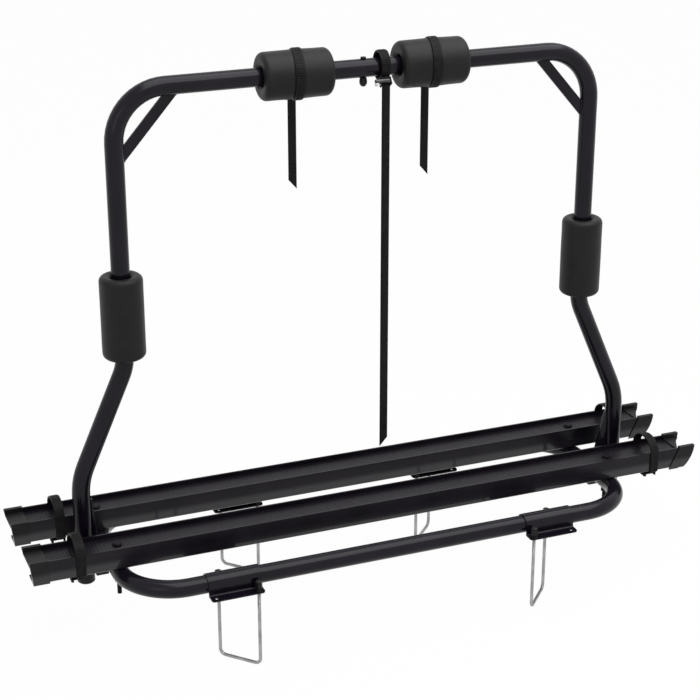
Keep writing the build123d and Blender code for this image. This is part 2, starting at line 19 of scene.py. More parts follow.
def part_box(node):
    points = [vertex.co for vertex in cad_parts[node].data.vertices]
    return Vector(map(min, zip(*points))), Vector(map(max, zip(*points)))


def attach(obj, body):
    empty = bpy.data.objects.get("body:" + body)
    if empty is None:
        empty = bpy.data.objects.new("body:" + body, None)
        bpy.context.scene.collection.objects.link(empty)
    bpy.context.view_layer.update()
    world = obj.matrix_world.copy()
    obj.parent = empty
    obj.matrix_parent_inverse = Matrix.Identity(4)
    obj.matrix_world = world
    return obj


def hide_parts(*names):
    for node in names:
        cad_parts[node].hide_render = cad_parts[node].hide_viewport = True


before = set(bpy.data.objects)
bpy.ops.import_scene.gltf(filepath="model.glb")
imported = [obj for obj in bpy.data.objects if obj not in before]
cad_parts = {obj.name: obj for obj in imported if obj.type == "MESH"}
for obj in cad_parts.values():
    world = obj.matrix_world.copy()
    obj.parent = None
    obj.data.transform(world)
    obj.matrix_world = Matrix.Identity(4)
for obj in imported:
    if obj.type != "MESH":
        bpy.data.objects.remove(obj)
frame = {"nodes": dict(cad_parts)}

log = logging.getLogger("rack")

Triple = tuple[float, float, float]
PairTest = Callable[[Vector, Vector], bool]

X_AXIS = Vector((1, 0, 0))
LYING = Matrix.Rotation(pi / 2, 4, "Y")

# The pads' bands and the grooves that they press share these two
BAND_SKEW = radians(9)
BAND_OFFSET = 0.0034


class Side(Enum):
    """The two ends of the rack along X."""

    LEFT = -1
    RIGHT = 1

    @property
    def word(self) -> str:
        """Name of the side as the frame's nodes spell it."""
        return self.name.lower()


class Row(Enum):
    """Front and rear along Y, as the two wheel rails are called."""

    FRONT = "front"
    REAR = "rear"


class Turn(Enum):
    """Which way a pad's bore runs."""

    ALONG_BAR = Matrix.Identity(4)
    UP_THE_LEG = Matrix.Rotation(-pi / 2, 4, "Y")


# Hand tools


class Bench:
    """Modelling steps done with Blender's operators."""

    @staticmethod
    def clear() -> None:
        """Leave edit mode and deselect everything."""
        if bpy.context.object and bpy.context.object.mode != "OBJECT":
            bpy.ops.object.mode_set(mode="OBJECT")
        bpy.ops.object.select_all(action="DESELECT")

    @staticmethod
    def take(piece: bpy.types.Object) -> None:
        """Make one object the selected and active one.

        Args:
            piece: the object to work on.
        """
        Bench.clear()
        piece.select_set(True)
        bpy.context.view_layer.objects.active = piece

    @staticmethod
    def pick_faces(piece: bpy.types.Object, test: PairTest) -> None:
        """Select in edit mode the faces that pass a test.

        Args:
            piece: the active object.
            test: takes a face's centre and normal.
        """
        bpy.ops.object.mode_set(mode="OBJECT")
        mesh = piece.data
        mesh.vertices.foreach_set("select", [False] * len(mesh.vertices))
        mesh.edges.foreach_set("select", [False] * len(mesh.edges))
        mesh.polygons.foreach_set("select", [test(f.center, f.normal) for f in mesh.polygons])
        bpy.ops.object.mode_set(mode="EDIT")
        bpy.ops.mesh.select_mode(type="FACE")

    @staticmethod
    def pick_edges(piece: bpy.types.Object, test: PairTest) -> None:
        """Select in edit mode the edges that pass a test.

        Args:
            piece: the active object.
            test: takes the two end points of an edge.
        """
        bpy.ops.object.mode_set(mode="OBJECT")
        mesh = piece.data
        points = [v.co.copy() for v in mesh.vertices]
        mesh.vertices.foreach_set("select", [False] * len(mesh.vertices))
        mesh.polygons.foreach_set("select", [False] * len(mesh.polygons))
        chosen = [test(points[a], points[b]) for a, b in (edge.vertices for edge in mesh.edges)]
        mesh.edges.foreach_set("select", chosen)
        bpy.ops.object.mode_set(mode="EDIT")
        bpy.ops.mesh.select_mode(type="EDGE")

    @staticmethod
    def tidy_shell(piece: bpy.types.Object) -> None:
        """Merge doubles and turn all faces outwards.

        Args:
            piece: the closed mesh to put right.
        """
        Bench.take(piece)
        bpy.ops.object.mode_set(mode="EDIT")
        bpy.ops.mesh.select_all(action="SELECT")
        bpy.ops.mesh.remove_doubles(threshold=2e-6)
        bpy.ops.mesh.normals_make_consistent(inside=False)
        bpy.ops.object.mode_set(mode="OBJECT")

    @staticmethod
    def modify(piece: bpy.types.Object, kind: str, **settings: object) -> None:
        """Add a modifier and apply it.

        Args:
            piece: the object it works on.
            kind: Blender's name of the modifier type.
            settings: its properties by name.
        """
        Bench.take(piece)
        modifier = piece.modifiers.new(kind.title(), kind)
        for name, value in settings.items():
            setattr(modifier, name, value)
        bpy.ops.object.modifier_apply(modifier=modifier.name)

    @staticmethod
    def stand(piece: bpy.types.Object, matrix: Matrix) -> bpy.types.Object:
        """Move a piece's mesh to its place and leave the object at the origin.

        Args:
            piece: the object, unturned and unscaled.
            matrix: where its mesh goes.

        Returns:
            The same object.
        """
        Bench.take(piece)
        piece.matrix_world = matrix
        bpy.ops.object.transform_apply(location=True, rotation=True, scale=True)
        return piece

    @staticmethod
    def again(piece: bpy.types.Object, name: str) -> bpy.types.Object:
        """Copy a piece with its own mesh.

        Args:
            piece: the finished pattern.
            name: the copy's name.

        Returns:
            The copy.
        """
        Bench.take(piece)
        bpy.ops.object.duplicate(linked=False)
        twin = bpy.context.object
        twin.name = name
        return twin

    @staticmethod
    def plate(name: str, outline: Sequence[tuple[float, float]], depth: float) -> bpy.types.Object:
        """Model a plate from its outline.

        Args:
            name: the object's name.
            outline: its corners in X and Y, in order round it.
            depth: its thickness, upwards from z = 0.

        Returns:
            The plate.
        """
        Bench.clear()
        bpy.ops.mesh.primitive_circle_add(vertices=len(outline), fill_type="NGON")
        plate = bpy.context.object
        plate.name = name
        for vertex, (x, y) in zip(plate.data.vertices, outline):
            vertex.co = (x, y, 0)
        bpy.ops.object.mode_set(mode="EDIT")
        bpy.ops.mesh.select_all(action="SELECT")
        bpy.ops.mesh.extrude_region_move(TRANSFORM_OT_translate={"value": (0, 0, depth)})
        bpy.ops.object.mode_set(mode="OBJECT")
        Bench.tidy_shell(plate)
        return plate

    @staticmethod
    def set_out(pattern: bpy.types.Object, places: dict[str, Matrix]) -> list[bpy.types.Object]:
        """Set out copies of a finished pattern and throw the pattern away.

        Args:
            pattern: the piece that was modelled once.
            places: where each copy goes, by its name.

        Returns:
            The copies in their places, each with its own mesh.
        """
        made = [Bench.stand(Bench.again(pattern, name), place) for name, place in places.items()]
        bpy.data.meshes.remove(pattern.data)
        return made

    @staticmethod
    def smooth(piece: bpy.types.Object, degrees: float = 35.0) -> None:
        """Shade a piece smooth apart from edges sharper than an angle in degrees."""
        Bench.take(piece)
        bpy.ops.object.shade_smooth_by_angle(angle=radians(degrees))


# Shader tools


class Level:
    """A number socket whose arithmetic adds Math nodes."""

    def __init__(self, tree: "Recipe", socket: bpy.types.NodeSocket) -> None:
        """Wrap one output socket of a recipe."""
        self.tree = tree
        self.socket = socket

    def __add__(self, other: "Level | float") -> "Level":
        """Sum."""
        return self.tree.math("ADD", self, other)

    def __radd__(self, other: float) -> "Level":
        """Reflected sum."""
        return self.tree.math("ADD", other, self)

    def __sub__(self, other: "Level | float") -> "Level":
        """Difference."""
        return self.tree.math("SUBTRACT", self, other)

    def __rsub__(self, other: float) -> "Level":
        """Reflected difference."""
        return self.tree.math("SUBTRACT", other, self)

    def __mul__(self, other: "Level | float") -> "Level":
        """Product."""
        return self.tree.math("MULTIPLY", self, other)

    def __rmul__(self, other: float) -> "Level":
        """Reflected product."""
        return self.tree.math("MULTIPLY", other, self)

    def __gt__(self, other: "Level | float") -> "Level":
        """One where the left side is greater, otherwise nought."""
        return self.tree.math("GREATER_THAN", self, other)

    def __lt__(self, other: "Level | float") -> "Level":
        """One where the left side is less, otherwise nought."""
        return self.tree.math("LESS_THAN", self, other)

    def wave(self, pitch: float) -> "Level":
        """A sine of the given pitch, from nought to one."""
        return self.tree.math("SINE", self * (2 * pi / pitch)) * 0.5 + 0.5

    def ramp(self, low: float, high: float) -> "Level":
        """Nought at low and one at high, smooth between them.

        Args:
            low: the value that gives nought.
            high: the value that gives one.

        Returns:
            The smoothed value.
        """
        node = self.tree.add(
            "ShaderNodeMapRange",
            {"interpolation_type": "SMOOTHSTEP"},
            {"Value": self, "From Min": low, "From Max": high},
        )
        return Level(self.tree, node.outputs["Result"])


class Recipe:
    """Builds the nodes of one material, or of the world."""

    def __init__(self, name: str, world: bpy.types.World | None = None) -> None:
        """Start with no nodes.

        Args:
            name: the new material's name.
            world: the world, when the nodes are for it and not for a material.
        """
        self.material = world or bpy.data.materials.new(name)
        self.material.use_nodes = True
        self.nodes = self.material.node_tree.nodes
        self.links = self.material.node_tree.links
        self.nodes.clear()

    def add(
        self,
        kind: str,
        settings: dict[str, object] | None = None,
        inputs: dict[str | int, object] | None = None,
    ) -> bpy.types.Node:
        """Add a node.

        Args:
            kind: the node's type.
            settings: its properties by name, set first.
            inputs: values or links of its sockets, by name or place.

        Returns:
            The node.
        """
        node = self.nodes.new(kind)
        for name, value in (settings or {}).items():
            setattr(node, name, value)
        for name, value in (inputs or {}).items():
            if isinstance(value, Level):
                value = value.socket
            if isinstance(value, bpy.types.NodeSocket):
                self.links.new(value, node.inputs[name])
            else:
                node.inputs[name].default_value = value
        return node

    def math(self, operation: str, *values: "Level | float") -> Level:
        """Add a Math node and return its value."""
        node = self.add("ShaderNodeMath", {"operation": operation}, dict(enumerate(values)))
        return Level(self, node.outputs[0])

    def place(self) -> bpy.types.NodeSocket:
        """Object coordinates, which are the frame's own."""
        return self.add("ShaderNodeTexCoord").outputs["Object"]

    def axes(self, vector: bpy.types.NodeSocket) -> list[Level]:
        """The three parts of a vector."""
        node = self.add("ShaderNodeSeparateXYZ", None, {0: vector})
        return [Level(self, out) for out in node.outputs]

    def facing(self) -> list[Level]:
        """Find the surface's own normal.

        Returns:
            Its three parts.
        """
        node = self.add("ShaderNodeNewGeometry")
        turned = self.add(
            "ShaderNodeVectorTransform",
            {"vector_type": "NORMAL", "convert_from": "WORLD", "convert_to": "OBJECT"},
            {0: node.outputs["Normal"]},
        )
        return self.axes(turned.outputs[0])

    def stretched(self, vector: bpy.types.NodeSocket, scale: Triple) -> bpy.types.NodeSocket:
        """The vector with each part scaled."""
        return self.add("ShaderNodeMapping", None, {"Vector": vector, "Scale": scale}).outputs[0]

    def grain(
        self, vector: bpy.types.NodeSocket, size: float, detail: float = 2.0, rough: float = 0.5
    ) -> Level:
        """Add soft noise.

        Args:
            vector: where it is read.
            size: about how large its blotches are, in metres.
            detail: how many finer layers it has.
            rough: how strong these are.

        Returns:
            The noise, from nought to one.
        """
        node = self.add(
            "ShaderNodeTexNoise",
            None,
            {"Vector": vector, "Scale": 1 / size, "Detail": detail, "Roughness": rough},
        )
        return Level(self, node.outputs[0])

    def cells(self, vector: bpy.types.NodeSocket, size: float) -> Level:
        """Distance to the nearest of scattered points, for foam cells."""
        node = self.add("ShaderNodeTexVoronoi", None, {"Vector": vector, "Scale": 1 / size})
        return Level(self, node.outputs["Distance"])

    def blend(
        self,
        share: Level | float,
        first: Triple | bpy.types.NodeSocket,
        second: Triple | bpy.types.NodeSocket,
    ) -> bpy.types.NodeSocket:
        """Mix two colours.

        Args:
            share: how much of the second, from nought to one.
            first: one colour, plain or linked.
            second: the other.

        Returns:
            The mixed colour.
        """
        first = (*first, 1.0) if isinstance(first, tuple) else first
        second = (*second, 1.0) if isinstance(second, tuple) else second
        node = self.add("ShaderNodeMix", {"data_type": "RGBA"}, {0: share, 6: first, 7: second})
        return node.outputs[2]

    def relief(self, height: Level, depth: float) -> bpy.types.NodeSocket:
        """Turn a height of nought to one into a bumped normal, depth metres deep."""
        sockets = {"Height": height, "Distance": depth, "Strength": 1.0}
        return self.add("ShaderNodeBump", None, sockets).outputs[0]

    def mix(
        self, share: Level, first: bpy.types.Node, second: bpy.types.Node
    ) -> bpy.types.NodeSocket:
        """Mix two shaders; a share of one gives the second."""
        sockets = {0: share, 1: first.outputs[0], 2: second.outputs[0]}
        return self.add("ShaderNodeMixShader", None, sockets).outputs[0]

    def finish(self, **sockets: object) -> bpy.types.Material:
        """Close the recipe with a Principled shader.

        Args:
            sockets: its inputs, with underscores for spaces.

        Returns:
            The material.
        """
        named = {name.replace("_", " "): value for name, value in sockets.items()}
        shader = self.add("ShaderNodeBsdfPrincipled", None, named)
        self.add("ShaderNodeOutputMaterial", None, {"Surface": shader.outputs[0]})
        return self.material


# Finishes


@dataclass(frozen=True)
class PowderCoat:
    """Baked powder paint on steel tube, with a fine orange peel."""

    name: str
    dark: Triple = (0.005, 0.0032, 0.0075)
    light: Triple = (0.0085, 0.0058, 0.0125)
    roughness: float = 0.15
    peel: float = 0.0016
    peel_depth: float = 0.00006

    def make(self) -> bpy.types.Material:
        """Build the material.

        Returns:
            The material, ready to be put on a piece.
        """
        recipe = Recipe(self.name)
        where = recipe.place()
        mottle = recipe.grain(where, 0.05, 3.0)
        peel = recipe.grain(where, self.peel, 2.0)
        dust = recipe.grain(where, 0.0006, 1.0)
        return recipe.finish(
            Base_Color=recipe.blend(mottle.ramp(0.3, 0.7), self.dark, self.light),
            Roughness=self.roughness + 0.05 * mottle + 0.03 * dust,
            Specular_IOR_Level=0.2,
            Normal=recipe.relief(peel, self.peel_depth),
        )


@dataclass(frozen=True)
class RailCoat:
    """Coated extrusion: ribs across its floor, drawn lines and a glossier foot on its walls.
    Painted shade darkens its channel floor and rib troughs, the rib crests get a painted highlight,
    and a painted reflection lightens the foot of its walls.
    """

    name: str
    floor_z: float
    floor_slack: float = 0.0006
    dark: Triple = (0.0045, 0.0034, 0.006)
    light: Triple = (0.0118, 0.0086, 0.0145)
    # Painted reflection: the walls' colour turns to this lighter tone towards their foot
    foot: Triple = (0.013, 0.011, 0.015)
    painted_reflection_share: float = 0.8
    foot_low: float = 0.022
    foot_high: float = 0.009
    gloss: float = 0.7
    rib_pitch: float = 0.0064
    rib_depth: float = 0.001
    line_share: float = 0.06
    roughness: float = 0.27

    def make(self) -> bpy.types.Material:
        """Build the material.

        Returns:
            The material, ready to be put on a piece.
        """
        recipe = Recipe(self.name)
        where = recipe.place()
        along, _, height = recipe.axes(where)
        _, _, up = recipe.facing()
        lines = recipe.grain(recipe.stretched(where, (2.0, 900.0, 900.0)), 1.0, 2.0)
        mottle = recipe.grain(where, 0.06, 3.0)
        above = height > self.floor_z - self.floor_slack
        floor = (up > 0.9) * above * (height < self.floor_z + self.floor_slack)
        ribs = along.wave(self.rib_pitch).ramp(0.2, 0.7)
        # Painted shade: on the floor the colour darkens in the troughs between the ribs
        groove = 1 - floor * (1 - ribs)
        # Towards the walls' foot the colour lightens as a painted reflection of the floor, and the
        # same mask adds coat gloss
        lower = 1 - height.ramp(self.floor_z - self.foot_low, self.floor_z - self.foot_high)
        relief = ribs * floor + lines * self.line_share * (1 - floor)
        # Painted shade darkens the recessed channel floor as a whole, and the rib crests get a
        # painted highlight
        pale = groove * mottle.ramp(0.25, 0.75) * (1 - 0.55 * floor) + 0.15 * ribs * floor
        body = recipe.blend(pale, self.dark, self.light)
        return recipe.finish(
            Base_Color=recipe.blend(lower * self.painted_reflection_share, body, self.foot),
            Roughness=self.roughness + 0.08 * floor + 0.05 * mottle,
            Specular_IOR_Level=0.2,
            Coat_Weight=lower * self.gloss,
            Coat_Roughness=0.06,
            Normal=recipe.relief(relief, self.rib_depth),
        )


@dataclass(frozen=True)
class MouldedPlastic:
    """Injection-moulded plastic with a fine spark-eroded grain, glossier near its foot."""

    name: str
    dark: Triple
    light: Triple
    roughness: float = 0.42
    grain: float = 0.0009
    depth: float = 0.00005
    shine: float = 0.2
    gloss: float = 0.0
    gloss_low: float = 0.19
    gloss_high: float = 0.203

    def make(self) -> bpy.types.Material:
        """Build the material.

        Returns:
            The material, ready to be put on a piece.
        """
        recipe = Recipe(self.name)
        where = recipe.place()
        grain = recipe.grain(where, self.grain, 3.0, 0.6)
        flow = recipe.grain(recipe.stretched(where, (30.0, 60.0, 90.0)), 1.0, 2.0)
        coat: Level | float = 0.0
        if self.gloss:
            _, _, height = recipe.axes(where)
            coat = (1 - height.ramp(self.gloss_low, self.gloss_high)) * self.gloss
        return recipe.finish(
            Base_Color=recipe.blend(flow.ramp(0.3, 0.7), self.dark, self.light),
            Coat_Weight=coat,
            Coat_Roughness=0.1,
            Roughness=self.roughness + 0.1 * (grain - 0.5) + 0.06 * flow,
            Specular_IOR_Level=self.shine,
            Normal=recipe.relief(grain, self.depth),
        )


@dataclass(frozen=True)
class ClosedFoam:
    """Moulded skin of closed-cell foam: matt, dimpled by fine cells."""

    name: str
    dark: Triple = (0.0055, 0.0058, 0.0055)
    light: Triple = (0.012, 0.0124, 0.012)
    cell: float = 0.0013
    depth: float = 0.00016
    roughness: float = 0.47

    def make(self) -> bpy.types.Material:
        """Build the material.

        Returns:
            The material, ready to be put on a piece.
        """
        recipe = Recipe(self.name)
        where = recipe.place()
        cells = recipe.cells(where, self.cell)
        fine = recipe.grain(where, 0.0007, 2.0)
        cloud = recipe.grain(where, 0.03, 3.0)
        pale = cells * 0.4 + cloud.ramp(0.25, 0.75) * 0.6
        return recipe.finish(
            Base_Color=recipe.blend(pale, self.dark, self.light),
            Roughness=self.roughness + 0.12 * (cloud - 0.5),
            Specular_IOR_Level=0.2,
            Normal=recipe.relief(cells * 0.7 + fine * 0.3, self.depth),
        )


@dataclass(frozen=True)
class StrapRubber:
    """Pliable strap plastic, slightly shiny on its teeth."""

    name: str
    dark: Triple = (0.0038, 0.0044, 0.0038)
    light: Triple = (0.0085, 0.0094, 0.0085)
    roughness: float = 0.46

    def make(self) -> bpy.types.Material:
        """Build the material.

        Returns:
            The material, ready to be put on a piece.
        """
        recipe = Recipe(self.name)
        where = recipe.place()
        grain = recipe.grain(where, 0.0006, 2.0)
        smear = recipe.grain(where, 0.012, 3.0)
        return recipe.finish(
            Base_Color=recipe.blend(smear.ramp(0.3, 0.7), self.dark, self.light),
            Roughness=self.roughness + 0.14 * (smear - 0.5) + 0.05 * grain,
            Specular_IOR_Level=0.12,
            Normal=recipe.relief(grain, 0.00005),
        )


@dataclass(frozen=True)
class DrawnSteel:
    """Plated steel wire or bar, with a rolled thread inside a band of heights, if it has one."""

    name: str
    colour: Triple = (0.42, 0.42, 0.43)
    roughness: float = 0.32
    thread: tuple[float, float] = (0.0, 0.0)
    thread_pitch: float = 0.001

    def make(self) -> bpy.types.Material:
        """Build the material.

        Returns:
            The material, ready to be put on a piece.
        """
        recipe = Recipe(self.name)
        where = recipe.place()
        _, _, height = recipe.axes(where)
        drawn = recipe.grain(recipe.stretched(where, (1800.0, 1800.0, 25.0)), 1.0, 2.0)
        cloud = recipe.grain(where, 0.02, 3.0)
        threaded = (height > self.thread[0]) * (height < self.thread[1])
        relief = drawn * 0.15 * (1 - threaded) + height.wave(self.thread_pitch) * threaded
        dull = tuple(0.62 * part for part in self.colour)
        return recipe.finish(
            Base_Color=recipe.blend(cloud.ramp(0.25, 0.75), dull, self.colour),
            Metallic=1.0,
            Roughness=self.roughness + 0.12 * (cloud - 0.5) + 0.08 * drawn,
            Normal=recipe.relief(relief, 0.0004),
        )


@dataclass(frozen=True)
class BlackBolt:
    """Black-oxide screw with a rolled thread inside a band of heights."""

    name: str
    thread: tuple[float, float]
    dark: Triple = (0.004, 0.0035, 0.005)
    light: Triple = (0.009, 0.008, 0.011)
    pitch: float = 0.00125

    def make(self) -> bpy.types.Material:
        """Build the material.

        Returns:
            The material, ready to be put on a piece.
        """
        recipe = Recipe(self.name)
        where = recipe.place()
        _, _, height = recipe.axes(where)
        cloud = recipe.grain(where, 0.004, 3.0)
        threaded = (height > self.thread[0]) * (height < self.thread[1])
        return recipe.finish(
            Base_Color=recipe.blend(cloud.ramp(0.3, 0.7), self.dark, self.light),
            Roughness=0.4 + 0.15 * cloud,
            Specular_IOR_Level=0.15,
            Normal=recipe.relief(height.wave(self.pitch) * threaded + 0.1 * cloud, 0.0004),
        )


@dataclass(frozen=True)
class BrightPin:
    """Lever of dark plastic whose pin along X stands out of the buckle as bright steel."""

    name: str
    ear_x: float
    steel: Triple = (0.66, 0.66, 0.67)
    plastic: Triple = (0.006, 0.0065, 0.006)

    def make(self) -> bpy.types.Material:
        """Build the material.

        Returns:
            The material, ready to be put on a piece.
        """
        recipe = Recipe(self.name)
        where = recipe.place()
        pin = recipe.axes(where)[0] < self.ear_x
        drawn = recipe.grain(recipe.stretched(where, (40.0, 1600.0, 1600.0)), 1.0, 2.0)
        return recipe.finish(
            Base_Color=recipe.blend(pin, self.plastic, self.steel),
            Metallic=pin,
            Roughness=0.4 - 0.12 * pin + 0.08 * drawn,
            Specular_IOR_Level=0.08,
            Normal=recipe.relief(drawn, 0.00004),
        )


# Handing over


def hand_over(
    piece: bpy.types.Object,
    paint: bpy.types.Material,
    node: str | None = None,
    body: str = "rack",
) -> None:
    """Paint a finished piece and set it on its body.

    Args:
        piece: the finished piece.
        paint: its material.
        node: the plain solid that it takes the place of.
        body: the body it moves with.
    """
    piece.data.materials.append(paint)
    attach(piece, body)
    if node:
        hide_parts(node)


# Paths and straps


@dataclass(frozen=True)
class StrapLine:
    """A strap's middle line with the outward direction at each point."""

    points: tuple[Vector, ...]
    outward: tuple[Vector, ...]
    closed: bool

    def length(self) -> float:
        """Length of the line, closing stretch included."""
        ends = self.points[1:] + (self.points[:1] if self.closed else ())
        return sum((b - a).length for a, b in zip(self.points, ends))

    def at(self, distance: float) -> tuple[Vector, Vector]:
        """Point and outward direction at a distance along the line.

        Args:
            distance: metres from the first point.

        Returns:
            The point and a unit vector.
        """
        count = len(self.points)
        for i in range(count if self.closed else count - 1):
            a, b = self.points[i], self.points[(i + 1) % count]
            step = (b - a).length
            last = not self.closed and i == count - 2
            if distance <= step or last:
                share = distance / step
                out = self.outward[i].lerp(self.outward[(i + 1) % count], min(share, 1.0))
                return a.lerp(b, share), out.normalized()
            distance -= step
        return self.points[0].copy(), self.outward[0].copy()


@dataclass
class ToothedStrap:
    """A moulded strap with a ladder of teeth between two plain borders of its outer face."""

    width: float
    thickness: float
    tooth_height: float = 0.0006
    pitch: float = 0.0042
    border: float = 0.0022
    edge: float = 0.0003

    def flat(self, name: str, length: float, slant: float = 0.0) -> bpy.types.Object:
        """Model the strap lying flat along X, its outer face up.

        Args:
            name: the object's name.
            length: how long it is.
            slant: how much longer its -Y edge is than its +Y edge.

        Returns:
            The flat strap, from x = 0 to its length.
        """
        teeth = max(4, round(length / self.pitch))
        step = length / teeth
        Bench.clear()
        bpy.ops.mesh.primitive_grid_add(x_subdivisions=2 * teeth, y_subdivisions=4, size=1)
        strap = bpy.context.object
        strap.name = name
        Bench.stand(strap, Matrix.Diagonal((length, self.width, 1, 1)))
        Bench.stand(strap, Matrix.Translation((length / 2, 0, 0)))
        inner = self.width / 2 - self.border
        for vertex in strap.data.vertices:
            if 1e-4 < abs(vertex.co.y) < self.width / 2 - 1e-4:
                vertex.co.y = inner if vertex.co.y > 0 else -inner
        plain = length - 2 * abs(slant)
        lean = 1 if slant > 0 else -1
        for vertex in strap.data.vertices:
            past = max(0.0, vertex.co.x - plain) / 2
            vertex.co.x -= past * (0.5 + lean * vertex.co.y / self.width)
        Bench.pick_faces(
            strap, lambda c, n: abs(c.y) < inner and c.x % step < step / 2 and c.x < plain
        )
        rise = {"value": (0, 0, self.tooth_height)}
        bpy.ops.mesh.extrude_region_move(TRANSFORM_OT_translate=rise)
        bpy.ops.object.mode_set(mode="OBJECT")
        return strap

    def thicken(self, strap: bpy.types.Object) -> None:
        """Give a strap's face its thickness and soften its edges.

        Args:
            strap: the flat strap.
        """
        Bench.modify(strap, "SOLIDIFY", thickness=self.thickness, offset=-1.0, use_even_offset=True)
        sharp = {"limit_method": "ANGLE", "angle_limit": radians(50)}
        Bench.modify(strap, "BEVEL", width=self.edge, segments=1, **sharp)

    def wrap(self, strap: bpy.types.Object, line: StrapLine, across: Vector) -> None:
        """Bend a flat strap along a line.

        Args:
            strap: the flat strap.
            line: the outer face's line.
            across: unit vector along the strap's width.
        """
        for vertex in strap.data.vertices:
            spot, out = line.at(vertex.co.x)
            vertex.co = spot + across * vertex.co.y + out * vertex.co.z

    def band(self, name: str, line: StrapLine) -> bpy.types.Object:
        """Model a closed band round something, its width along X.

        Args:
            name: the object's name.
            line: the band's outer face, closed.

        Returns:
            The finished band.
        """
        length = line.length()
        strap = self.flat(name, length)
        self.thicken(strap)
        Bench.pick_faces(strap, lambda c, n: abs(n.x) > 0.99 and not 1e-5 < c.x < length - 1e-5)
        bpy.ops.mesh.delete(type="FACE")
        bpy.ops.object.mode_set(mode="OBJECT")
        self.wrap(strap, line, X_AXIS)
        Bench.tidy_shell(strap)
        Bench.smooth(strap, 40)
        return strap


# Sub-assemblies


@dataclass
class FoamPads:
    """Four foam sleeves: two on the top bar and two on the legs."""

    bore: float = 0.0163
    round_edge: float = 0.0095
    bore_edge: float = 0.0007
    bore_wall: float = 0.003
    steps: int = 120
    rings: int = 46
    lumps: float = 0.00035
    lumps_per_metre: float = 26.0
    groove_half: float = 0.0083
    swell: float = 0.0009
    swell_start: float = 0.0012
    swell_reach: float = 0.011

    @staticmethod
    def round_corners(
        profile: bpy.types.Object, test: Callable[[float], bool], width: float, segments: int
    ) -> None:
        """Bevel some corners of a flat profile.

        Args:
            profile: the active object.
            test: takes a corner's distance from the axis.
            width: how far the rounding reaches.
            segments: how many edges it gets.
        """
        bpy.ops.object.mode_set(mode="OBJECT")
        for vertex in profile.data.vertices:
            vertex.select = test(vertex.co.y)
        bpy.ops.object.mode_set(mode="EDIT")
        bpy.ops.mesh.select_mode(type="VERT")
        bpy.ops.mesh.bevel(offset=width, segments=segments, affect="VERTICES")

    def sleeve(self, name: str, length: float, radius: float) -> bpy.types.Object:
        """Turn a sleeve from its flat profile.

        Args:
            name: the object's name.
            length: its length, along X.
            radius: its outer radius.

        Returns:
            The sleeve, centred on the origin.
        """
        Bench.clear()
        bpy.ops.mesh.primitive_plane_add(size=1)
        pad = bpy.context.object
        pad.name = name
        Bench.stand(pad, Matrix.Diagonal((length, radius - self.bore, 1, 1)))
        Bench.stand(pad, Matrix.Translation((0, (radius + self.bore) / 2, 0)))
        outer = radius - 1e-4
        self.round_corners(pad, lambda reach: reach > outer, self.round_edge, 8)
        self.round_corners(pad, lambda reach: reach < self.bore + 1e-4, self.bore_edge, 2)
        Bench.pick_faces(pad, lambda c, n: True)
        bpy.ops.mesh.delete(type="ONLY_FACE")
        Bench.pick_edges(pad, lambda a, b: min(a.y, b.y) > outer and abs(a.x - b.x) > length / 2)
        bpy.ops.mesh.subdivide(number_cuts=self.rings)
        Bench.pick_edges(pad, lambda a, b: abs(a.x - b.x) < 1e-5 and abs(a.y - b.y) > 0.004)
        bpy.ops.mesh.subdivide(number_cuts=6)
        bpy.ops.mesh.select_all(action="SELECT")
        bpy.ops.mesh.spin(steps=self.steps, angle=2 * pi, center=(0, 0, 0), axis=(1, 0, 0))
        bpy.ops.object.mode_set(mode="OBJECT")
        Bench.tidy_shell(pad)
        return pad

    def settle(self, pad: bpy.types.Object, radius: float, strapped: bool, seed: float) -> None:
        """Press the strap's groove into a sleeve and give it soft lumps.

        Args:
            pad: the sleeve, centred on the origin along X.
            radius: its outer radius.
            strapped: whether a strap is drawn round it.
            seed: shifts the lumps, so that no two pads are alike.
        """
        for vertex in pad.data.vertices:
            point = vertex.co
            reach = hypot(point.y, point.z)
            if reach < self.bore + self.bore_wall:
                continue
            out = Vector((0, point.y, point.z)) / reach
            share = (reach - self.bore) / (radius - self.bore)
            spot = Vector((seed, 0, 0)) + point * self.lumps_per_metre
            move = self.lumps * noise.noise(spot) * share
            if strapped:
                middle = BAND_OFFSET + point.y * sin(BAND_SKEW)
                gap = abs(point.x - middle) - self.groove_half
                if gap > 0:
                    rise = 1 - exp(-gap / self.swell_start)
                    move += self.swell * share * rise * exp(-gap / self.swell_reach)
            vertex.co = point + out * move

    def build(self, foam: bpy.types.Material) -> list[bpy.types.Object]:
        """Model all four pads.

        Args:
            foam: their finish.

        Returns:
            The pads.
        """
        made = []
        for kind, turn in (("top", Turn.ALONG_BAR), ("leg", Turn.UP_THE_LEG)):
            low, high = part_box(f"left_{kind}_pad")
            size = high - low
            length, radius = (size.x, size.z / 2) if kind == "top" else (size.z, size.x / 2)
            here = {f"{side.word}_{kind}_foam": Matrix.Identity(4) for side in Side}
            pattern = self.sleeve(f"{kind}_foam", length, radius)
            for side, pad in zip(Side, Bench.set_out(pattern, here)):
                node = f"{side.word}_{kind}_pad"
                low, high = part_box(node)
                self.settle(pad, radius, kind == "top", 7.0 * side.value + length * 10)
                Bench.stand(pad, Matrix.Translation((low + high) / 2) @ turn.value)
                Bench.smooth(pad, 60)
                hand_over(pad, foam, node)
                made.append(pad)
        return made


